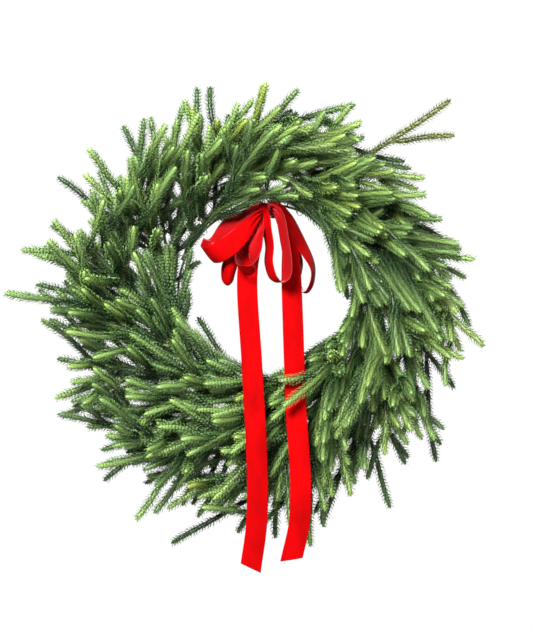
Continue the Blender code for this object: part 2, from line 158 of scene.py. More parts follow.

# Needle colours: at the base, the middle, the upper part and the tip, and of young growth
# The near-black base and dark middle colours are painted shade between the crowded needles
GREENS_WITH_BASE_SHADE = ((0.001, 0.003, 0.0015), (0.007, 0.026, 0.005), (0.075, 0.175, 0.035),
          (0.340, 0.490, 0.190), (0.24, 0.37, 0.105))
OLIVES_WITH_BASE_SHADE = ((0.040, 0.045, 0.012), (0.110, 0.130, 0.030), (0.180, 0.200, 0.055),
          (0.260, 0.270, 0.080), (0.26, 0.25, 0.070))
# Twig colour multipliers: the dark low end is painted shade on twigs that lie far back; the rest is
# a random tone that runs to yellower
TONE_AND_SHADE_RAMP = ((0.0, (0.13, 0.19, 0.19)), (0.35, (0.38, 0.47, 0.43)), (0.65, (0.98, 1.02, 0.93)),
         (0.85, (1.10, 1.06, 0.88)), (1.0, (1.30, 1.12, 0.65)))

# Stage: the surround looks white and lights the wreath much less. VIEW_HEIGHT is the size
# of the picture's taller side at FOCUS_Y
FLOOR_Z = -1.6
FLOOR_RADIUS = 4.0
FLOOR_SIDES = 128
WORLD_LIGHT = 0.10
WORLD_SEEN = 1.0
LIGHTS = (
    ("key", (-0.5, -1.6, 0.8), 178.0, 0.6),
    ("fill", (1.1, -2.2, 0.1), 45.0, 1.4),
    ("back", (0.6, 1.9, 0.8), 110.0, 2.0),
)
FOCUS_Y = -0.05
CAMERA_DISTANCE = 2.0
CAMERA_DROP = 0.030
VIEW_HEIGHT = 632 * 0.00125
SENSOR_SIZE = 36
SIGHT = 50


# ---------------------------------------------------------------- the model's rules

def ring_point(angle, radius, y):
    """A point in the ring's own directions: angle anticlockwise from +X, seen from the front."""
    return Vector((radius * math.cos(angle), y, RING_Z + radius * math.sin(angle)))


def outward(angle):
    return Vector((math.cos(angle), 0, math.sin(angle)))


def clockwise(angle):
    return Vector((math.sin(angle), 0, -math.cos(angle)))


def crossbar_ends(index):
    """A short bar welded from rail to rail, halfway between two of the rails' corners."""
    angle = 2 * math.pi * (index / CROSSBARS + 0.5 / RAIL_SEGMENTS)
    return [ring_point(angle, INNER_RAIL_R, 0), ring_point(angle, OUTER_RAIL_R, 0)]


def wrap_path():
    """The binding wire's helix, which closes on itself after WRAP_TURNS turns."""
    path = []
    for step in range(WRAP_TURNS * WRAP_POINTS):
        turn = 2 * math.pi * (step + 0.5) / WRAP_POINTS
        ring_angle = 2 * math.pi * (step / WRAP_POINTS + WRAP_PHASE) / WRAP_TURNS + math.pi / 2
        across = math.copysign(abs(math.cos(turn)) ** WRAP_SQUARENESS, math.cos(turn))
        deep = math.copysign(abs(math.sin(turn)) ** WRAP_SQUARENESS, math.sin(turn))
        radius = MID_R + WRAP_HALF_WIDTH * across
        path.append(ring_point(ring_angle, radius, WRAP_Y + WRAP_HALF_DEPTH * deep))
    return path


def hanging_loop_path():
    """A long link in the YZ plane: its top hangs on the hook and its bottom holds the rail."""
    top = -LOOP_HALF_WIDTH + LOOP_WIRE_R
    bottom = RING_Z + OUTER_RAIL_R + LOOP_HALF_WIDTH - RAIL_WIRE_R - 2 * LOOP_WIRE_R
    path = []
    for step in range(12):
        angle = 2 * math.pi * (step + 0.5) / 12
        centre = top if math.sin(angle) > 0 else bottom
        path.append(Vector((0, LOOP_HALF_WIDTH * math.cos(angle),
                            centre + LOOP_HALF_WIDTH * math.sin(angle))))
    return path


def smooth(rows, count):
    """count rows read from a Catmull-Rom curve through the given rows."""
    table = np.array(rows, float)
    ends = np.vstack([2 * table[0] - table[1], table, 2 * table[-1] - table[-2]])
    made = []
    for t in np.linspace(0, len(table) - 1, count):
        i = min(int(t), len(table) - 2)
        u = t - i
        a, b, c, d = ends[i:i + 4]
        made.append(0.5 * (2 * b + (c - a) * u + (2 * a - 5 * b + 4 * c - d) * u * u
                           + (3 * b - a - 3 * c + d) * u ** 3))
    return np.array(made)


# Each row: x, y, z from the ring's centre; the width's direction x, y, z; share of full width
TAIL_LEFT = (
    (-0.0070, -0.0450, 0.0860, 1.0, 0.1, -0.2, 0.5),
    (-0.0150, -0.0500, 0.0560, 1.0, 0.1, -0.1, 0.85),
    (-0.0241, -0.0600, 0.0090, 1.0, 0.0, 0.0, 1.0),
    (-0.0185, -0.0830, -0.0793, 1.0, 0.0, 0.1, 1.0),
    (-0.0159, -0.0990, -0.1231, 1.0, 0.0, 0.1, 1.0),
    (-0.0133, -0.1180, -0.1658, 1.0, 0.1, 0.0, 1.0),
    (-0.0109, -0.1260, -0.2218, 1.0, 0.1, 0.0, 1.0),
    (-0.0120, -0.1275, -0.2804, 1.0, 0.0, -0.1, 1.0),
    (-0.0190, -0.1260, -0.3330, 1.0, 0.0, -0.2, 1.0),
)
TAIL_RIGHT = (
    (0.0120, -0.0470, 0.0940, 0.6, 0.5, -0.5, 0.5),
    (0.0230, -0.0500, 0.0770, 0.7, 0.6, -0.3, 0.85),
    (0.0300, -0.0550, 0.0500, 0.85, 0.5, -0.1, 1.0),
    (0.0316, -0.0640, -0.0052, 1.0, 0.1, 0.0, 1.0),
    (0.0338, -0.0850, -0.0792, 1.0, 0.0, 0.0, 1.0),
    (0.0363, -0.1060, -0.1520, 1.0, 0.0, 0.0, 1.0),
    (0.0393, -0.1220, -0.1946, 1.0, -0.1, 0.0, 1.0),
    (0.0410, -0.1270, -0.2373, 1.0, -0.1, 0.0, 1.0),
    (0.0392, -0.1270, -0.2806, 1.0, 0.0, -0.1, 1.0),
    (0.0300, -0.1260, -0.3230, 1.0, 0.0, -0.2, 1.0),
)
LOOP_LEFT_OUTER = (
    (-0.0125, -0.0450, 0.1075, 0.2, 0.6, 0.8, 0.45),
    (-0.0282, -0.0400, 0.1009, 0.3, 0.5, 0.8, 0.75),
    (-0.0469, -0.0400, 0.0890, 0.35, 0.4, 0.85, 1.0),
    (-0.0670, -0.0440, 0.0690, 0.5, 0.3, 0.8, 1.0),
    (-0.0735, -0.0530, 0.0490, -0.5, 0.1, 0.8, 1.0),
    (-0.0640, -0.0700, 0.0465, -0.75, 0.0, 0.65, 1.0),
    (-0.0450, -0.0790, 0.0570, -0.5, 0.15, 0.85, 1.0),
    (-0.0280, -0.0800, 0.0730, -0.35, 0.2, 0.9, 0.8),
    (-0.0125, -0.0690, 0.0930, -0.1, 0.3, 0.9, 0.38),
)
LOOP_LEFT_LOWER = (
    (-0.0170, -0.0420, 0.0880, 0.8, 0.5, 0.3, 0.35),
    (-0.0320, -0.0420, 0.0620, 0.8, 0.5, 0.2, 0.6),
    (-0.0470, -0.0450, 0.0330, 0.9, 0.3, 0.1, 0.65),
    (-0.0485, -0.0520, 0.0150, 1.0, 0.2, 0.0, 0.65),
    (-0.0450, -0.0570, 0.0280, 1.0, 0.1, 0.1, 0.65),
    (-0.0380, -0.0560, 0.0500, 0.9, 0.2, 0.3, 0.55),
    (-0.0220, -0.0510, 0.0800, 0.7, 0.4, 0.5, 0.3),
)
LOOP_LEFT_INNER = (
    (-0.0060, -0.0660, 0.0880, -0.5, 0.6, 0.2, 0.4),
    (-0.0120, -0.0790, 0.0680, -0.7, 0.65, -0.1, 0.85),
    (-0.0145, -0.0840, 0.0480, -0.6, 0.75, -0.25, 1.0),
    (-0.0190, -0.0850, 0.0310, -0.1, 0.83, -0.5, 1.0),
    (-0.0290, -0.0780, 0.0270, 0.3, 0.83, -0.4, 1.0),
    (-0.0330, -0.0700, 0.0420, 0.3, 0.9, -0.1, 0.8),
    (-0.0260, -0.0660, 0.0660, 0.1, 0.9, 0.2, 0.5),
    (-0.0130, -0.0600, 0.0850, 0.0, 0.9, 0.2, 0.3),
)
LOOP_RIGHT_INNER = (
    (0.0000, -0.0660, 0.0920, -0.4, 0.9, 0.0, 0.6),
    (0.0010, -0.0760, 0.0770, -0.4, 0.9, 0.0, 0.95),
    (0.0040, -0.0820, 0.0560, -0.4, 0.9, 0.0, 1.0),
    (0.0030, -0.0840, 0.0360, -0.4, 0.9, 0.0, 1.0),
    (0.0080, -0.0850, 0.0190, -0.4, 0.9, 0.0, 1.0),
    (0.0175, -0.0850, 0.0130, -0.4, 0.9, 0.0, 1.0),
    (0.0250, -0.0850, 0.0210, -0.4, 0.9, 0.0, 1.0),
    (0.0255, -0.0830, 0.0400, -0.4, 0.9, 0.0, 1.0),
    (0.0215, -0.0780, 0.0660, -0.4, 0.9, 0.0, 1.0),
    (0.0165, -0.0720, 0.0920, -0.4, 0.9, 0.0, 0.95),
    (0.0080, -0.0640, 0.1050, -0.4, 0.9, 0.0, 0.55),
)
LOOP_RIGHT_OUTER = (
    (0.0130, -0.0370, 0.1080, 0.4, 0.8, 0.5, 0.4),
    (0.0310, -0.0340, 0.0920, 0.4, 0.8, 0.5, 0.8),
    (0.0450, -0.0380, 0.0640, 0.4, 0.8, 0.4, 1.0),
    (0.0560, -0.0460, 0.0340, 0.4, 0.85, 0.3, 1.0),
    (0.0570, -0.0500, 0.0140, 0.4, 0.9, 0.0, 1.0),
    (0.0520, -0.0500, 0.0020, 0.3, 0.9, -0.3, 1.0),
    (0.0480, -0.0450, 0.0130, 0.3, 0.9, 0.0, 1.0),
    (0.0450, -0.0350, 0.0420, 0.4, 0.8, 0.3, 0.8),
    (0.0180, -0.0310, 0.0920, 0.4, 0.8, 0.4, 0.35),
)
RIBBON_STRIPS = {
    "ribbon_tail_left": (TAIL_LEFT, 16, 0.008),
    "ribbon_tail_right": (TAIL_RIGHT, 16, -0.010),
    "ribbon_loop_left_outer": (LOOP_LEFT_OUTER, 14, 0),
    "ribbon_loop_left_lower": (LOOP_LEFT_LOWER, 12, 0),
    "ribbon_loop_left_inner": (LOOP_LEFT_INNER, 14, 0),
    "ribbon_loop_right_inner": (LOOP_RIGHT_INNER, 16, 0),
    "ribbon_loop_right_outer": (LOOP_RIGHT_OUTER, 16, 0),
}


# How the cloth eases off the model's strips: first and last row, and what each row gains
EASED_ROWS = {
    "ribbon_tail_left": ((1, 1, (-0.0040, 0, 0, 0, 0, 0, 0.15)),),
    "ribbon_loop_left_outer": (
        (1, 2, (0, 0, -0.0038, 0, 0, 0, 0)), (3, 3, (0, 0, -0.0062, 0, 0, 0, 0)),
        (4, 4, (0, 0, -0.0010, 0, 0, 0, 0))),
    "ribbon_loop_right_outer": (
        (1, 2, (-0.0035, 0, 0, 0, 0, 0, 0)), (3, 4, (0, 0, 0, -0.2, 0, 0, 0)),
        (5, 5, (-0.0030, 0, -0.0020, -0.1, 0, 0.3, 0)), (6, 6, (-0.0075, 0, 0, -0.1, 0, 0, 0)),
        (7, 7, (-0.0030, 0, 0, -0.2, 0, 0, 0))),
    "ribbon_loop_left_lower": ((3, 4, (0, 0, 0, 0, 0, 0, -0.15)),),
    "ribbon_loop_left_inner": ((4, 6, (-0.0010, 0, 0, 0, 0, 0, 0.20)),),
}


def strip_sections(rows, count, slant):
    """Left and right edge points of a ribbon strip; slant lengthens one edge at its cut end."""
    sections = []
    table = smooth(rows, count)
    for index, row in enumerate(table):
        centre = Vector(row[:3]) + Vector((0, 0, RING_Z))
        before, after = table[max(index - 1, 0)], table[min(index + 1, count - 1)]
        along = Vector(after[:3]) - Vector(before[:3])
        along.normalize()
        across = Vector(row[3:6])
        across -= along * across.dot(along)
        across.normalize()
        half = across * RIBBON_WIDTH / 2 * min(row[6], 1.0)
        shift = along * (slant / 2 if index == count - 1 else 0)
        sections.append((centre - half - shift, centre + half + shift))
    return sections


class Room:
    """The space taken so far, as balls along every piece."""

    def __init__(self):
        self.centres = np.zeros((0, 3))
        self.radii = np.zeros(0)

    def take(self, centres, radii):
        self.centres = np.vstack([self.centres, centres])
        self.radii = np.concatenate([self.radii, radii])

    def gap(self, centres, radii):
        """The least distance from new balls to those already there, up to NEAR."""
        low, high = centres.min(0) - NEAR, centres.max(0) + NEAR
        near = ((self.centres > low) & (self.centres < high)).all(1)
        if not near.any():
            return NEAR
        apart = np.linalg.norm(centres[:, None] - self.centres[None, near], axis=2)
        return (apart - radii[:, None] - self.radii[None, near]).min()


def balls(points, radii):
    """Balls SAMPLE_STEP apart along a polyline with a radius at each point."""
    points = np.array([tuple(p) for p in points], float)
    centres, sizes = [points[0]], [radii[0]]
    for a, b, ra, rb in zip(points, points[1:], radii, radii[1:]):
        count = max(1, math.ceil(np.linalg.norm(b - a) / SAMPLE_STEP))
        for step in range(1, count + 1):
            centres.append(a + (b - a) * step / count)
            sizes.append(ra + (rb - ra) * step / count)
    return np.array(centres), np.array(sizes)


def reach(angle):
    """How far from the ring's centre the tips come: further at the lower left."""
    return 0.268 + 0.034 * math.cos(angle - math.radians(245))


def hole(angle):
    """How near the ring's centre the tips come: the top is left open for the bow."""
    top = max(0.0, math.cos(angle - math.radians(78))) ** 2
    bottom = max(0.0, math.cos(angle - math.radians(275))) ** 2
    return 0.086 + 0.028 * top + 0.024 * bottom


def twig(start, heading, bend, length, segments):
    """Points of a twig that leaves start along heading and turns towards bend."""
    way = heading.normalized()
    made = []
    for step in range(segments + 1):
        t = step / segments
        made.append(start + length * (way * t + bend * (t * t / 2)))
    return made


def inside(points, spare, closer=0.0):
    """Whether a twig stays in the wreath: off the wall, out of the hole, behind the tails
    and within reach, which spare stretches."""
    for point in points:
        away = Vector((point.x, point.z - RING_Z))
        angle = math.atan2(away.y, away.x)
        behind_tails = abs(point.x - TAILS_X) < TAILS_HALF_WIDTH and away.y < -INNER_RAIL_R / 2
        front = BEHIND_TAILS_Y if behind_tails else FRONT_Y
        if not front < point.y < WALL_Y - CLAD_R or away.length < hole(angle) - closer:
            return False
    return away.length < reach(angle) * spare


# Kind: heading's outward angle and forward angle, bend outward, length, place in the bundle
KINDS = {
    "outer": dict(out=(22, 44), front=(-4, 16), bend=(-0.35, 0.10), size=(0.175, 0.220),
                  offset=0.012, depth=-0.0075, lean=0.50),
    "front": dict(out=(4, 34), front=(20, 40), bend=(-0.45, 0.05), size=(0.160, 0.205),
                  offset=0.001, depth=-0.0125, lean=0.10),
    "inner": dict(out=(-12, 14), front=(6, 30), bend=(-0.90, -0.30), size=(0.120, 0.165),
                  offset=-0.011, depth=-0.0085, lean=-0.45),
}


def leader_path(rng, kind, angle):
    """A sprig's own stem, from its cut end in the bundle to its tip."""
    spec = KINDS[kind]
    angle += math.radians(rng.uniform(-10, 10))
    radius = MID_R + spec["offset"] + rng.uniform(-0.007, 0.007)
    start = ring_point(angle, radius, spec["depth"] + rng.uniform(-0.0035, 0.0035))
    out = math.radians(rng.uniform(*spec["out"]))
    front = math.radians(rng.uniform(*spec["front"]))
    heading = clockwise(angle) * math.cos(out) + outward(angle) * math.sin(out)
    heading = heading * math.cos(front) + Vector((0, -1, 0)) * math.sin(front)
    ahead = angle - 0.6
    bend = outward(ahead) * rng.uniform(*spec["bend"]) + Vector((0, 1, 0)) * rng.uniform(0, 0.5)
    length = rng.uniform(*spec["size"]) * (1 + 0.12 * math.cos(angle - math.radians(260)))
    return twig(start, heading, bend, length, LEADER_SEGMENTS)


def leader_radii():
    return [STEM_R, CLAD_R * 0.8] + [CLAD_R] * (LEADER_SEGMENTS - 2) + [TIP_R]


def side_radii():
    return [STEM_R] + [CLAD_R] * (SIDE_SEGMENTS - 1) + [TIP_R]


def best_of(rng, room, draw, radii, tries):
    """The first drawn twig with ample room, else the roomiest, or None when none is clear."""
    best, most = None, CLEARANCE
    spare = 1 + 0.16 * rng.random() ** 3
    for _ in range(tries):
        path = draw(rng)
        if not inside(path, spare):
            continue
        gap = room.gap(*balls(path, radii))
        if gap > most:
            best, most = path, gap
        if gap > AMPLE_GAP:
            break
    return best


def along_path(path, share):
    """The point and direction at a share of a polyline."""
    place = share * (len(path) - 1)
    index = min(int(place), len(path) - 2)
    step = path[index + 1] - path[index]
    return path[index] + step * (place - index), step.normalized()


def side_drawer(leader, kind, share, side):
    spec = KINDS[kind]
    start, forward = along_path(leader, share)
    away = Vector((start.x, 0, start.z - RING_Z)).normalized()
    face = (Vector((0, -1, 0)) + away * spec["lean"]).normalized()
    across = forward.cross(face).normalized() * side

    def draw(rng):
        spread = math.radians(rng.uniform(24, 52))
        lift = rng.uniform(-0.30, 0.45)
        heading = forward * math.cos(spread) + (across + face * lift).normalized() * math.sin(spread)
        bend = forward * rng.uniform(0.1, 0.7) + face * rng.uniform(-0.2, 0.15)
        length = rng.uniform(0.095, 0.140) * (1.08 - 0.35 * share)
        return twig(start, heading, bend, length, SIDE_SEGMENTS)

    return draw


def grow_sprig(rng, room, kind, angle):
    """The twigs of one sprig: its leader first, then side twigs on alternate sides."""
    draw = functools.partial(leader_path, kind=kind, angle=angle)
    leader = best_of(rng, room, draw, leader_radii(), LEADER_TRIES)
    if leader is None:
        return None
    twigs = [leader]
    side = 1 if rng.random() < 0.5 else -1
    share = BARE_STEM / 0.18
    while share < 0.80:
        path = best_of(rng, room, side_drawer(leader, kind, share, side), side_radii(), SIDE_TRIES)
        if path is not None:
            twigs.append(path)
        side = -side
        share += rng.uniform(0.070, 0.105)
    take_sprig(room, twigs)
    return twigs


def placed_sprigs():
    """The two sprigs with a place of their own: one lies over the right tail, and one strays
    past the others at the upper right. Each has a leader and one side twig."""
    start = ring_point(math.radians(-35), 0.128, -0.012)
    over = twig(start, Vector((-0.22, -0.96, -0.18)), Vector((-0.56, 0.53, -0.40)),
                0.170, LEADER_SEGMENTS)
    beside = twig(over[3], Vector((-0.80, -0.55, 0.05)), Vector((-0.3, 0.6, -0.3)),
                  0.052, SIDE_SEGMENTS)
    start = ring_point(math.radians(74), 0.134, -0.009)
    stray = twig(start, Vector((0.90, -0.20, 0.36)), Vector((-0.1, 0.1, 0.28)),
                 0.225, LEADER_SEGMENTS)
    fork = twig(stray[3], Vector((0.97, -0.20, 0.10)), Vector((0, 0.1, 0)),
                0.082, SIDE_SEGMENTS)
    return {"sprig_over_tail": [over, beside], "sprig_stray": [stray, fork]}


def take_sprig(room, twigs):
    for index, path in enumerate(twigs):
        room.take(*balls(path, leader_radii() if index == 0 else side_radii()))


def grow_all(room):
    rng = np.random.default_rng(SEED)
    sprigs = placed_sprigs()
    for twigs in sprigs.values():
        take_sprig(room, twigs)
    for station in range(STATIONS):
        for rank, kind in enumerate(KINDS):
            angle = math.pi / 2 - 2 * math.pi * (station + rank / 3) / STATIONS
            twigs = grow_sprig(rng, room, kind, angle)
            if twigs:
                sprigs[f"sprig_{kind}_{station + 1:02d}"] = twigs
    return sprigs


# ---------------------------------------------------------------- shoots between the twigs


def shoot_from(rng, twigs, way):
    """A short shoot off one of a sprig's twigs, leaning forward and to any side, or one way."""
    parent = twigs[rng.integers(len(twigs))] if rng.random() < 0.6 else twigs[0]
    start, forward = along_path(parent, rng.uniform(0.15, 0.82))
    side = Vector(rng.normal(size=3))
    if way == "inwards":
        side = side * 0.4 - Vector((start.x, 0, start.z - RING_Z)).normalized()
    elif way == "backwards":
        side = side * 0.4 + Vector((0, 1, 0))
    side -= forward * side.dot(forward)
    spread = math.radians(rng.uniform(22, 55))
    heading = forward * math.cos(spread) + side.normalized() * math.sin(spread)
    bend = forward * rng.uniform(0.1, 0.6)
    return twig(start, heading, bend, rng.uniform(*SHOOT_LENGTHS), SIDE_SEGMENTS)


def over_bow(path):
    """Whether a shoot would hang in front of the bow."""
    (low_x, high_x), (low_z, high_z) = BOW_SPAN
    return any(low_x < p.x < high_x and low_z < p.z - RING_Z < high_z and p.y < KNOT.y / 2
               for p in path)


def add_shoots(room, sprigs):
    """Fill the wreath out: each sprig gets the short shoots that still find room."""
    rng = np.random.default_rng(SHOOT_SEED)
    for name, twigs in sprigs.items():
        if name == "sprig_stray":
            continue
        grown = []
        ways = ["inwards"] * (INWARD_SHOOTS if "inner" in name else 1)
        ways += ["backwards"] * BACKWARD_SHOOTS + ["any"] * FREE_SHOOTS
        for way in ways:
            for _ in range(SHOOT_TRIES):
                path = shoot_from(rng, twigs, way)
                if not inside(path, SHOOT_REACH, SHOOT_CLOSER) or over_bow(path):
                    continue
                centres, radii = balls(path[1:], side_radii()[1:])
                if room.gap(centres, radii) < SHOOT_PRESS:
                    continue
                room.take(centres, radii)
                grown.append(path)
                break
        twigs += grown


# ---------------------------------------------------------------- mesh building


def mesh_object(name, points, faces_by_size):
    """A smooth-shaded object from an array of points and arrays of triangles and quads."""
    mesh = bpy.data.meshes.new(name)
    mesh.vertices.add(len(points))
    mesh.vertices.foreach_set("co", np.asarray(points, np.float32).ravel())
    corners = np.concatenate([faces.ravel() for faces in faces_by_size])
    sizes = np.concatenate([np.full(len(faces), faces.shape[1]) for faces in faces_by_size])
    mesh.loops.add(len(corners))
    mesh.loops.foreach_set("vertex_index", corners.astype(np.int32))
    mesh.polygons.add(len(sizes))
    starts = np.concatenate([[0], np.cumsum(sizes)[:-1]])
    mesh.polygons.foreach_set("loop_start", starts.astype(np.int32))
    mesh.polygons.foreach_set("use_smooth", np.full(len(sizes), True))
    mesh.update(calc_edges=True)
    obj = bpy.data.objects.new(name, mesh)
    bpy.context.scene.collection.objects.link(obj)
    return obj


def point_attribute(mesh, name, values):
    layer = mesh.attributes.new(name, "FLOAT", "POINT")
    layer.data.foreach_set("value", np.asarray(values, np.float32))


def bake_map(mesh, places):
    """The UV map that the materials' colours are baked through, from a place for each point."""
    layer = mesh.uv_layers.new(name="OFBake", do_init=False)
    corner = np.zeros(len(mesh.loops), np.int32)
    mesh.loops.foreach_get("vertex_index", corner)
    layer.data.foreach_set("uv", np.asarray(places, np.float32)[corner].ravel())


def curve_through(points, count):
    """count points of a smooth curve through the given ones, and its unit directions."""
    line = smooth([tuple(p) for p in points], count)
    ways = np.gradient(line, axis=0)
    return line, ways / np.linalg.norm(ways, axis=1, keepdims=True)


def sides_of(ways):
    """Two unit vectors across each direction, carried along the curve without twist."""
    first = np.cross(ways[0], (0.31, 0.87, 0.38))
    across = [first / np.linalg.norm(first)]
    for way in ways[1:]:
        turned = across[-1] - way * (across[-1] @ way)
        across.append(turned / np.linalg.norm(turned))
    across = np.array(across)
    return across, np.cross(ways, across)


def grid_faces(rows, columns, closed):
    """Quads between rows of columns points; closed joins the last column to the first."""
    row, column = np.mgrid[0:rows - 1, 0:columns if closed else columns - 1]
    row, column = row.ravel(), column.ravel()
    after = (column + 1) % columns
    low, high = row * columns, (row + 1) * columns
    return np.stack([low + column, low + after, high + after, high + column], 1)


def cap_fans(rows, columns):
    """Triangles that close both ends of a tube, round two points that follow its own."""
    edge = np.arange(columns)
    after = (edge + 1) % columns
    last_row = (rows - 1) * columns
    first = np.stack([np.full(columns, rows * columns), after, edge], 1)
    last = np.stack([np.full(columns, rows * columns + 1), last_row + edge, last_row + after], 1)
    return np.concatenate([first, last])


class Body:
    """Points, faces and what the material reads, gathered piece by piece for one object."""

    def __init__(self):
        self.points, self.triangles, self.quads = [], [], []
        self.fields = {name: [] for name in ("along", "age", "tint", "u", "v")}
        self.slots_t, self.slots_q = [], []
        self.count = 0

    def add(self, points, triangles, quads, slot, **fields):
        self.points.append(points)
        self.triangles.append(triangles + self.count)
        self.quads.append(quads + self.count)
        self.slots_t.append(np.full(len(triangles), slot))
        self.slots_q.append(np.full(len(quads), slot))
        for name, values in self.fields.items():
            values.append(np.broadcast_to(fields.get(name, 0.0), len(points)))
        self.count += len(points)

    def finish(self, name, materials):
        faces = [np.concatenate(self.triangles), np.concatenate(self.quads)]
        obj = mesh_object(name, np.concatenate(self.points), faces)
        slots = np.concatenate(self.slots_t + self.slots_q)
        obj.data.polygons.foreach_set("material_index", slots.astype(np.int32))
        fields = {key: np.concatenate(values) for key, values in self.fields.items()}
        for key in ("along", "age", "tint"):
            point_attribute(obj.data, key, fields[key])
        bake_map(obj.data, np.stack([fields["u"], fields["v"]], 1))
        for surface in materials:
            obj.data.materials.append(surface)
        return obj


# ---------------------------------------------------------------- needles


def profile_at(place, clad_from, length):
    """Share of full needle size at a place along a twig: short at its start and at its tip."""
    start = np.clip((place - clad_from) / START_FADE, 0, 1)
    end = np.clip((length - place) / TIP_FADE, 0, 1)
    return (0.55 + 0.45 * start) * (0.50 + 0.50 * np.sqrt(end))


def add_needles(body, rng, line, ways, clad_from, band, bands, tint):
    """Needles in close rings round a twig, each leaning out and forward."""
    steps = np.linalg.norm(np.diff(line, axis=0), axis=1)
    reached = np.concatenate([[0], np.cumsum(steps)])
    length = reached[-1]
    count = int((length - clad_from) * RANKS / RANK_PITCH)
    rings_along = np.arange(count) // RANKS * RANK_PITCH
    place = clad_from + rings_along + rng.normal(0, PLACE_JITTER, count)
    place = np.clip(place, clad_from, length)
    sides_a, sides_b = sides_of(ways)

    def read(table):
        return np.stack([np.interp(place, reached, table[:, i]) for i in range(3)], 1)

    centre, way, side_a, side_b = read(line), read(ways), read(sides_a), read(sides_b)
    way /= np.linalg.norm(way, axis=1, keepdims=True)
    turn = np.arange(count) * (2 * math.pi / RANKS + RANK_TWIST)
    turn = turn + rng.normal(0, TURN_JITTER, count)
    out = side_a * np.cos(turn)[:, None] + side_b * np.sin(turn)[:, None]
    around = np.cross(way, out)
    size = NEEDLE_LENGTH * profile_at(place, clad_from, length) * rng.uniform(*SIZE_RANGE, count)
    near_tip = np.clip((length - place) / 0.016, 0, 1)
    lift = rng.uniform(*SIZE_RANGE, count) * (0.72 + 0.28 * near_tip)
    lean = rng.normal(0, LEAN_JITTER, count)

    rings = []
    for along, (outward_share, forward_share) in zip(NEEDLE_RINGS, NEEDLE_CURVE):
        spot = centre + out * (CORE_R + size * outward_share * lift)[:, None]
        spot += way * (size * forward_share)[:, None] + around * (size * lean * along)[:, None]
        rings.append(spot)
    wide = (NEEDLE_WIDTH / 2 * np.clip(size / NEEDLE_LENGTH, 0.6, 1))[:, None]
    thick = wide * 0.6
    points = np.stack([
        rings[0] - around * wide * 0.8, rings[0] + around * wide * 0.8, rings[0] + out * thick,
        rings[1] - around * wide, rings[1] + around * wide, rings[1] + out * thick,
        rings[2],
    ], 1)
    base = np.arange(count)[:, None] * 7
    quads = np.concatenate([base + q for q in ((0, 1, 4, 3), (1, 2, 5, 4), (2, 0, 3, 5))])
    triangles = np.concatenate([base + t for t in ((3, 4, 6), (4, 5, 6), (5, 3, 6), (0, 2, 1))])
    age = np.repeat(place / length, 7)
    along = np.tile((0, 0, 0, 0.5, 0.5, 0.5, 1.0), count)
    spread = np.tile((-0.003, 0.003, 0.0, -0.003, 0.003, 0.0, 0.0), count)
    needle_tones_and_shades = np.repeat(tint + rng.normal(0, 0.05, count), 7)
    body.add(points.reshape(-1, 3), triangles, quads, 0, along=along, age=age, tint=needle_tones_and_shades,
             u=(band + 0.06 + 0.88 * along) / bands, v=np.clip(0.01 + 0.98 * age + spread, 0, 1))


def add_core(body, line, ways, radii, slot, band, bands, tint, along=0.0):
    """A closed round tube along a line: a twig's core of leaf bases, or its bare bark."""
    sides = CORE_SIDES
    side_a, side_b = sides_of(ways)
    turn = np.linspace(0, 2 * math.pi, sides, endpoint=False)
    ring = (side_a[:, None] * np.cos(turn)[None, :, None]
            + side_b[:, None] * np.sin(turn)[None, :, None])
    points = line[:, None] + ring * np.asarray(radii)[:, None, None]
    rows = len(line)
    points = np.concatenate([points.reshape(-1, 3), line[:1], line[-1:]])
    age = np.concatenate([np.repeat(np.linspace(0, 1, rows), sides), [0, 1]])
    across = np.concatenate([np.tile(np.arange(sides) / sides, rows), [0.5, 0.5]])
    body.add(points, cap_fans(rows, sides), grid_faces(rows, sides, True), slot, along=along,
             age=age, tint=tint, u=(band + 0.06 + 0.88 * across) / bands, v=0.01 + 0.98 * age)


def wavy(rng, points, count):
    """The smooth line of a twig with a slight natural waver that is nil at its start."""
    line, ways = curve_through(points, count)
    side_a, side_b = sides_of(ways)
    share = np.linspace(0, 1, count)
    phase_a, phase_b = rng.uniform(0, 2 * math.pi, 2)
    fade = np.minimum(share * 3, 1) * TWIG_SWAY
    line = line + side_a * (fade * np.sin(share * 7 + phase_a))[:, None]
    line = line + side_b * (fade * np.sin(share * 6 + phase_b))[:, None]
    ways = np.gradient(line, axis=0)
    return line, ways / np.linalg.norm(ways, axis=1, keepdims=True)


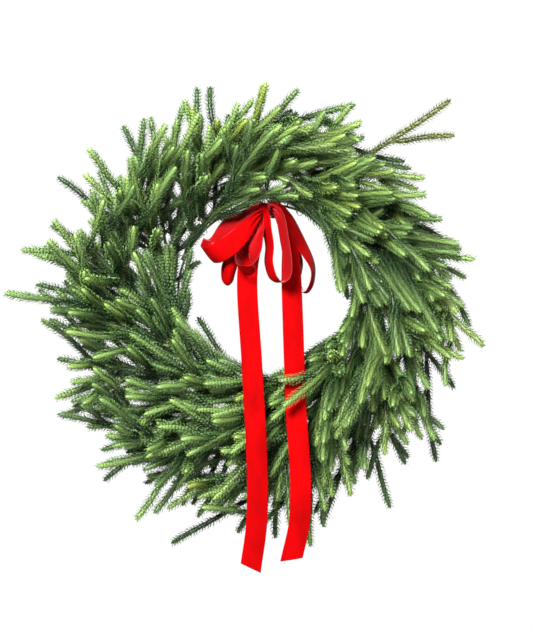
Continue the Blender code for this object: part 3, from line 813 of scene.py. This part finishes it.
def sprig_object(name, twigs, seed, materials):
    """A cut sprig: a bark stem with needle-clad twigs on all sides."""
    rng = np.random.default_rng(seed)
    body = Body()
    bands = 2 * len(twigs)
    sprig_tint = rng.normal(0, SPRIG_TINT_SPREAD)
    for index, path in enumerate(twigs):
        is_leader = index == 0
        line, ways = wavy(rng, path, LEADER_ROWS if is_leader else SIDE_ROWS)
        clad_from = BARE_STEM * rng.uniform(0.35, 0.6) if is_leader else 0.003
        # Painted shade: the further back a twig lies, the darker its needles are painted, with a
        # random tone on top
        painted_lit_share = np.clip(-line[len(line) // 2, 1] / PAINTED_SHADE_DEPTH, 0, 1)
        own_tint = sprig_tint + rng.normal(0, TWIG_TINT_SPREAD)
        tint = np.clip(0.10 + 0.60 * painted_lit_share + own_tint, 0, 1)
        steps = np.linalg.norm(np.diff(line, axis=0), axis=1)
        reached = np.concatenate([[0], np.cumsum(steps)])
        bare = np.searchsorted(reached, clad_from) + 3
        bark_radii = np.linspace(STEM_R, STEM_R * 0.9, bare)
        add_core(body, line[:bare], ways[:bare], bark_radii, 1, 2 * index, bands, tint)
        ends = np.minimum((reached[2:] - reached[2]) / 0.010, (reached[-1] - reached[2:]) / 0.008)
        clad_radii = CLAD_CORE_R * (0.35 + 0.65 * np.sqrt(np.clip(ends, 0, 1)))
        # The core of leaf bases reads the needle colours near their base, near black: painted shade
        # inside each rope of needles
        add_core(body, line[2:], ways[2:], clad_radii, 0, 2 * index, bands, tint, along=0.12)
        add_needles(body, rng, line, ways, clad_from, 2 * index + 1, bands, tint)
    return body.finish(name + "_twigs", materials)


# ---------------------------------------------------------------- materials


class Nodes:
    """A material's node tree with short ways to add and join nodes."""

    def __init__(self, name):
        self.material = bpy.data.materials.new(name)
        self.material.use_nodes = True
        self.tree = self.material.node_tree
        self.shader = self.tree.nodes["Principled BSDF"]

    def add(self, kind, **settings):
        node = self.tree.nodes.new(kind)
        for key, value in settings.items():
            setattr(node, key, value)
        return node

    def join(self, output, target):
        self.tree.links.new(output, target)

    def attribute(self, name):
        return self.add("ShaderNodeAttribute", attribute_name=name).outputs["Fac"]

    def ramp(self, value, stops):
        node = self.add("ShaderNodeValToRGB")
        elements = node.color_ramp.elements
        while len(elements) < len(stops):
            elements.new(0.5)
        for element, (place, colour) in zip(elements, stops):
            element.position = place
            element.color = (*colour, 1)
        self.join(value, node.inputs["Fac"])
        return node.outputs["Color"]

    def mix(self, factor, a, b, blend="MIX"):
        node = self.add("ShaderNodeMix", data_type="RGBA", blend_type=blend)
        for source, target in ((factor, node.inputs[0]), (a, node.inputs[6]), (b, node.inputs[7])):
            if isinstance(source, (int, float)):
                target.default_value = source
            elif isinstance(source, tuple):
                target.default_value = (*source, 1)
            else:
                self.join(source, target)
        return node.outputs[2]

    def noise(self, scale, detail=2.0, stretch=None):
        """Noise over the object's own coordinates, stretched along an axis if asked."""
        place = self.add("ShaderNodeTexCoord").outputs["Object"]
        if stretch:
            mapping = self.add("ShaderNodeMapping")
            mapping.inputs["Scale"].default_value = stretch
            self.join(place, mapping.inputs["Vector"])
            place = mapping.outputs["Vector"]
        node = self.add("ShaderNodeTexNoise")
        node.inputs["Scale"].default_value = scale
        node.inputs["Detail"].default_value = detail
        self.join(place, node.inputs["Vector"])
        return node.outputs["Fac"]

    def range(self, value, low, high):
        node = self.add("ShaderNodeMapRange")
        node.inputs["To Min"].default_value = low
        node.inputs["To Max"].default_value = high
        self.join(value, node.inputs["Value"])
        return node.outputs["Result"]

    def bump(self, height, strength, distance):
        node = self.add("ShaderNodeBump")
        node.inputs["Strength"].default_value = strength
        node.inputs["Distance"].default_value = distance
        self.join(height, node.inputs["Height"])
        self.join(node.outputs["Normal"], self.shader.inputs["Normal"])

    def paint(self, colour, grain, low, high):
        """Give the shader its colour, and a roughness from low to high with the grain."""
        self.join(colour, self.shader.inputs["Base Color"])
        self.join(self.range(grain, low, high), self.shader.inputs["Roughness"])

    def set(self, **values):
        for key, value in values.items():
            self.shader.inputs[key.replace("_", " ")].default_value = value


def needle_material(name, deep, middle, upper, tip, young):
    """Waxy needles, paler at their tip and yellower on young growth; painted shade makes their base
    near black, their middle dark and twigs far back darker.
    """
    nodes = Nodes(name)
    # The base and middle stops are painted shade between the crowded needles; the upper part and tip
    # are the needles' own colour
    stops = ((0.0, deep), (0.5, middle), (0.8, upper), (1.0, tip))
    colour = nodes.ramp(nodes.attribute("along"), stops)
    youth = nodes.ramp(nodes.attribute("age"), ((0.35, (0, 0, 0)), (1.0, (0.75,) * 3)))
    colour = nodes.mix(youth, colour, nodes.mix(0.6, colour, young))
    # Painted shade: twigs that lie further back are multiplied darker, and each twig also gets a
    # random tone
    tone_and_shade_colour = nodes.ramp(nodes.attribute("tint"), TONE_AND_SHADE_RAMP)
    colour = nodes.mix(1.0, colour, tone_and_shade_colour, "MULTIPLY")
    patches = nodes.ramp(nodes.noise(38.0), ((0.3, (0.80,) * 3), (0.7, (1.15,) * 3)))
    colour = nodes.mix(1.0, colour, patches, "MULTIPLY")
    nodes.paint(colour, nodes.noise(900.0), 0.34, 0.56)
    nodes.set(Specular_IOR_Level=0.28)
    return nodes.material


def bark_material(name):
    """Green-brown twig bark with leaf scars, seen where needles are thin."""
    nodes = Nodes(name)
    scars = nodes.noise(520.0, 4.0)
    colour = nodes.ramp(scars, ((0.3, (0.030, 0.040, 0.012)), (0.55, (0.085, 0.075, 0.028)),
                                (0.8, (0.20, 0.14, 0.065))))
    nodes.paint(colour, scars, 0.6, 0.9)
    nodes.bump(scars, 0.5, 0.0006)
    return nodes.material


def velvet_material(name):
    """Short red pile that leans in soft patches, with a faint red sheen."""
    nodes = Nodes(name)
    patches = nodes.noise(60.0, 3.0, (1.0, 1.0, 0.35))
    pile = nodes.noise(4200.0, 2.0)
    colour = nodes.ramp(patches, ((0.25, (0.135, 0.0, 0.0002)), (0.75, (0.215, 0.0, 0.0004))))
    shade = nodes.ramp(pile, ((0.3, (0.86,) * 3), (0.7, (1.08,) * 3)))
    nodes.paint(nodes.mix(1.0, colour, shade, "MULTIPLY"), pile, 0.78, 0.96)
    nodes.bump(pile, 0.35, 0.0003)
    nodes.set(Sheen_Weight=0.04, Sheen_Roughness=0.30, Sheen_Tint=(1.0, 0.10, 0.10, 1),
              Specular_IOR_Level=0.02)
    return nodes.material


def backing_material(name):
    """The ribbon's woven back: fine ribs across its length with a satin gloss."""
    nodes = Nodes(name)
    weave = nodes.noise(2600.0, 2.0, (0.25, 1.0, 1.0))
    colour = nodes.ramp(weave, ((0.3, (0.14, 0.0, 0.0006)), (0.7, (0.20, 0.0004, 0.0015))))
    nodes.paint(colour, weave, 0.40, 0.60)
    nodes.bump(weave, 0.3, 0.0002)
    nodes.set(Sheen_Weight=0.08, Sheen_Roughness=0.3, Sheen_Tint=(1.0, 0.40, 0.45, 1),
              Specular_IOR_Level=0.15)
    return nodes.material


def wire_material(name):
    """Dark green lacquered steel wire, rubbed brighter in spots."""
    nodes = Nodes(name)
    wear = nodes.noise(180.0, 4.0)
    colour = nodes.ramp(wear, ((0.35, (0.010, 0.022, 0.012)), (0.62, (0.020, 0.034, 0.020)),
                               (0.80, (0.11, 0.11, 0.095))))
    nodes.paint(colour, wear, 0.28, 0.55)
    nodes.set(Metallic=0.35)
    return nodes.material


# ---------------------------------------------------------------- ribbon


def eased(rows, changes):
    rows = np.array(rows)
    for first, last, gain in changes:
        rows[first:last + 1] += gain
    return [tuple(row) for row in rows]


def strip_table(rows, count, loop):
    """A ribbon strip at even steps: centres, directions along and across, shares of width."""
    knot = tuple(KNOT)

    def tucked(row):
        pulled = [a + (b - a) * TUCK for a, b in zip(row[:3], knot)]
        return (*pulled, *row[3:6], row[6] * 0.6)

    last = (tucked(rows[-1]),) if loop else ()
    table = smooth((tucked(rows[0]), *rows, *last), count)
    centre = table[:, :3] + (0, 0, RING_Z)
    along = np.gradient(centre, axis=0)
    along /= np.linalg.norm(along, axis=1, keepdims=True)
    across = table[:, 3:6]
    across = across - along * (across * along).sum(1)[:, None]
    across /= np.linalg.norm(across, axis=1, keepdims=True)
    share = 1 - FULLER * (1 - np.minimum(table[:, 6], 1.0))
    return centre, along, across, share


def ribbon_object(name, rows, slant, loop, materials):
    """A velvet strip with a cambered face, rounded selvedges and pleats where it is pinched."""
    rough = strip_table(rows, FEWEST_ROWS, loop)[0]
    length = np.linalg.norm(np.diff(rough, axis=0), axis=1).sum()
    count = max(FEWEST_ROWS, int(length / RIBBON_STEP))
    centre, along, across, share = strip_table(rows, count, loop)
    normal = np.cross(along, across)
    if loop:
        outward_way = centre - centre.mean(0)
        facing = np.sign((normal * outward_way).sum())
    else:
        facing = np.sign(-normal[:, 1].sum())
    normal *= facing
    half = RIBBON_WIDTH / 2 * share
    from_knot = np.linalg.norm(centre - KNOT_CENTRE, axis=1)
    near_knot = np.clip(1.6 - from_knot / PLEATED_SPAN, 0, 1)
    gathered = np.sqrt(1 - share ** 2) * near_knot
    spots = np.linspace(-1, 1, RIBBON_COLUMNS)
    curl = CAMBER + CURL * (1 - share) * (1 - near_knot)
    camber = curl[:, None] * (1 - spots ** 2)[None, :]
    pleat = PLEAT_DEPTH * gathered[:, None] * np.cos(spots * math.pi * PLEATS)[None, :]
    selvedge = SELVEDGE_RISE * (np.abs(spots) > 0.9)[None, :]
    wave = np.sin(np.arange(count) * RIBBON_STEP / TAIL_WAVE)[:, None]
    ripple = 0 if loop else TAIL_RIPPLE * wave
    lift = camber + pleat + selvedge + ripple
    thick = RIBBON_THICKNESS / 2 * np.sqrt(np.clip(1 - np.abs(spots) ** 12, 0.08, 1))
    past = np.arange(count) - (count - SLANTED_ROWS)
    near_end = np.clip(past / (SLANTED_ROWS - 1), 0, 1)[:, None]
    shift = near_end * slant / 2 * spots[None, :]
    middle = (centre[:, None] + across[:, None] * (half[:, None] * spots[None, :])[..., None]
              + normal[:, None] * lift[..., None] + along[:, None] * shift[..., None])
    face = middle + normal[:, None] * thick[None, :, None]
    back = middle - normal[:, None] * thick[None, :, None]
    section = np.concatenate([face, back[:, ::-1]], 1)
    columns = section.shape[1]
    quads = grid_faces(count, columns, True)
    ends = []
    for row in (0, count - 1):
        base = row * columns
        for i in range(RIBBON_COLUMNS - 1):
            a, b = base + i, base + i + 1
            c, d = base + columns - 2 - i, base + columns - 1 - i
            ends.append((a, d, c, b) if row == 0 else (a, b, c, d))
    faces = np.concatenate([quads, np.array(ends)])
    obj = mesh_object(name, section.reshape(-1, 3), [faces])
    column_of = np.concatenate([np.tile(np.arange(columns), count - 1), np.zeros(len(ends))])
    obj.data.polygons.foreach_set(
        "material_index", (column_of >= RIBBON_COLUMNS).astype(np.int32))
    for surface in materials:
        obj.data.materials.append(surface)
    turned = bmesh.new()
    turned.from_mesh(obj.data)
    bmesh.ops.recalc_face_normals(turned, faces=turned.faces)
    turned.to_mesh(obj.data)
    turned.free()
    return obj, length


def knot_piece(surface):
    """The knot: a short band drawn tight round the pinched ribbons, with pleats along it."""
    rows, columns = KNOT_ROWS, KNOT_COLUMNS
    share = np.linspace(-1, 1, rows)[:, None]
    turn = np.linspace(0, 2 * math.pi, columns, endpoint=False)[None, :]
    waist = 1 - 0.30 * np.abs(share) ** 3
    pleats = 1 + 0.05 * np.cos(5 * math.pi * share) * (1 + 0.3 * np.sin(turn * 2))
    radius = waist * pleats
    x = KNOT_CENTRE[0] + share * KNOT_HALF[0] + 0 * turn
    y = KNOT_CENTRE[1] + radius * np.cos(turn) * KNOT_HALF[1]
    z = KNOT_CENTRE[2] + radius * np.sin(turn) * KNOT_HALF[2]
    points = np.stack([x, y, z], 2).reshape(-1, 3)
    cap_x = KNOT_HALF[0] * 0.8
    caps = np.array(KNOT_CENTRE) + np.array([[-cap_x, 0, 0], [cap_x, 0, 0]])
    obj = mesh_object("knot_band", np.concatenate([points, caps]),
                      [cap_fans(rows, columns), grid_faces(rows, columns, True)])
    obj.data.materials.append(surface)
    return obj


# ---------------------------------------------------------------- wire


def wire_object(name, lines, surface):
    """Round wires along lines, each given as points, radius and whether it is closed."""
    curve = bpy.data.curves.new(name, "CURVE")
    curve.dimensions = "3D"
    curve.bevel_depth = 1.0
    curve.bevel_resolution = 3
    curve.use_fill_caps = True
    for points, radius, closed in lines:
        spline = curve.splines.new("POLY")
        spline.points.add(len(points) - 1)
        for spot, point in zip(spline.points, points):
            spot.co = (*point, 1)
            spot.radius = radius
        spline.use_cyclic_u = closed
    holder = bpy.data.objects.new(name + "_curve", curve)
    bpy.context.scene.collection.objects.link(holder)
    bpy.context.view_layer.update()
    posed = holder.evaluated_get(bpy.context.evaluated_depsgraph_get())
    mesh = bpy.data.meshes.new_from_object(posed)
    bpy.data.objects.remove(holder)
    obj = bpy.data.objects.new(name, mesh)
    bpy.context.scene.collection.objects.link(obj)
    mesh.materials.clear()
    mesh.materials.append(surface)
    mesh.shade_smooth()
    return obj


def smooth_loop(points, count):
    """A closed smooth line through points."""
    rows = [tuple(p) for p in points]
    turns = smooth(rows[-2:] + rows + rows[:3], (len(rows) + 4) * count + 1)
    return turns[2 * count:(len(rows) + 2) * count]


# ---------------------------------------------------------------- stage


def add_stage():
    """Plain pale floor well below the hanging wreath, a white surround and soft lights."""
    bpy.ops.mesh.primitive_circle_add(vertices=FLOOR_SIDES, radius=FLOOR_RADIUS,
                                      fill_type="NGON", location=(0, 0, FLOOR_Z))
    floor = bpy.context.object
    floor.name = "floor"
    pale = Nodes("pale_floor")
    pale.set(Base_Color=(0.85, 0.85, 0.84, 1), Roughness=0.8)
    floor.data.materials.append(pale.material)
    world = bpy.data.worlds.new("studio")
    bpy.context.scene.world = world
    world.use_nodes = True
    sky = world.node_tree.nodes["Background"]
    sky.inputs["Color"].default_value = (1, 1, 1, 1)
    seen = world.node_tree.nodes.new("ShaderNodeLightPath").outputs["Is Camera Ray"]
    strength = world.node_tree.nodes.new("ShaderNodeMapRange")
    strength.inputs["To Min"].default_value = WORLD_LIGHT
    strength.inputs["To Max"].default_value = WORLD_SEEN
    world.node_tree.links.new(seen, strength.inputs["Value"])
    world.node_tree.links.new(strength.outputs["Result"], sky.inputs["Strength"])
    centre = Vector((0, 0, RING_Z))
    for name, place, energy, size in LIGHTS:
        lamp = bpy.data.lights.new(name, "AREA")
        lamp.energy = energy
        lamp.size = size
        holder = bpy.data.objects.new(name, lamp)
        bpy.context.scene.collection.objects.link(holder)
        holder.location = centre + Vector(place)
        holder.rotation_euler = (-Vector(place)).to_track_quat("-Z", "Y").to_euler()


def add_camera():
    camera = bpy.data.cameras.new("camera")
    holder = bpy.data.objects.new("camera", camera)
    bpy.context.scene.collection.objects.link(holder)
    holder.location = (0, FOCUS_Y - CAMERA_DISTANCE, RING_Z - CAMERA_DROP)
    holder.rotation_euler = (math.pi / 2, 0, 0)
    camera.sensor_fit = "AUTO"
    camera.sensor_width = SENSOR_SIZE
    camera.lens = SENSOR_SIZE * CAMERA_DISTANCE / VIEW_HEIGHT
    camera.clip_end = SIGHT
    bpy.context.scene.camera = holder
    bpy.context.scene.view_settings.view_transform = "Standard"


# ---------------------------------------------------------------- assembly


def attach(piece, node):
    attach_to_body(piece, "root")
    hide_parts(node)


def main():
    add_camera()
    add_stage()
    wire = wire_material("lacquered_wire")
    bark = bark_material("twig_bark")
    green = needle_material("green_needle_wax_painted_shade", *GREENS_WITH_BASE_SHADE)
    olive = needle_material("olive_needle_wax_painted_shade", *OLIVES_WITH_BASE_SHADE)
    ribbon = [velvet_material("ribbon_velvet"), backing_material("ribbon_backing")]

    room = Room()
    rails = []
    for radius in (INNER_RAIL_R, OUTER_RAIL_R):
        ring = [ring_point(a, radius, 0) for a in np.linspace(0, 2 * math.pi, 120)]
        room.take(*balls(ring, [RAIL_WIRE_R] * len(ring)))
        fine = [ring_point(a, radius, 0) for a in np.linspace(0, 2 * math.pi, 181)[:-1]]
        rails.append((fine, RAIL_WIRE_R, True))
    for index in range(CROSSBARS):
        ends = crossbar_ends(index)
        room.take(*balls(ends, [CROSSBAR_WIRE_R] * 2))
        rails.append((ends, CROSSBAR_WIRE_R, False))
    attach(wire_object("frame_rails", rails, wire), "wire_frame")
    wrap = wrap_path()
    room.take(*balls(wrap + wrap[:1], [WRAP_WIRE_R] * (len(wrap) + 1)))
    attach(wire_object("wound_wire", [(smooth_loop(wrap, 3), WRAP_WIRE_R, True)], wire),
           "binding_wire")
    loop = hanging_loop_path()
    room.take(*balls(loop + loop[:1], [LOOP_WIRE_R] * (len(loop) + 1)))
    attach(wire_object("hook_link", [(smooth_loop(loop, 4), LOOP_WIRE_R, True)], wire),
           "hanging_loop")

    attach(knot_piece(ribbon[0]), "ribbon_knot")
    room.take(np.array([tuple(KNOT + Vector((0, 0, RING_Z)))]), np.array([KNOT_ROOM_R]))
    for name, (rows, count, slant) in RIBBON_STRIPS.items():
        for left, right in strip_sections(rows, 4 * count, slant):
            spots = [left.lerp(right, share) for share in (0, 0.25, 0.5, 0.75, 1)]
            room.take(*balls(spots, [STRIP_ROOM_R] * len(spots)))
        rows = eased(rows, EASED_ROWS.get(name, ()))
        piece, length = ribbon_object(name + "_cloth", rows, slant, "loop" in name, ribbon)
        attach(piece, name)

    sprigs = grow_all(room)
    add_shoots(room, sprigs)
    for index, (name, twigs) in enumerate(sprigs.items()):
        stray = name == "sprig_stray"
        needles = olive if stray else green
        piece = sprig_object(name, twigs, SEED * 1000 + index, [needles, bark])
        attach(piece, name)


main()
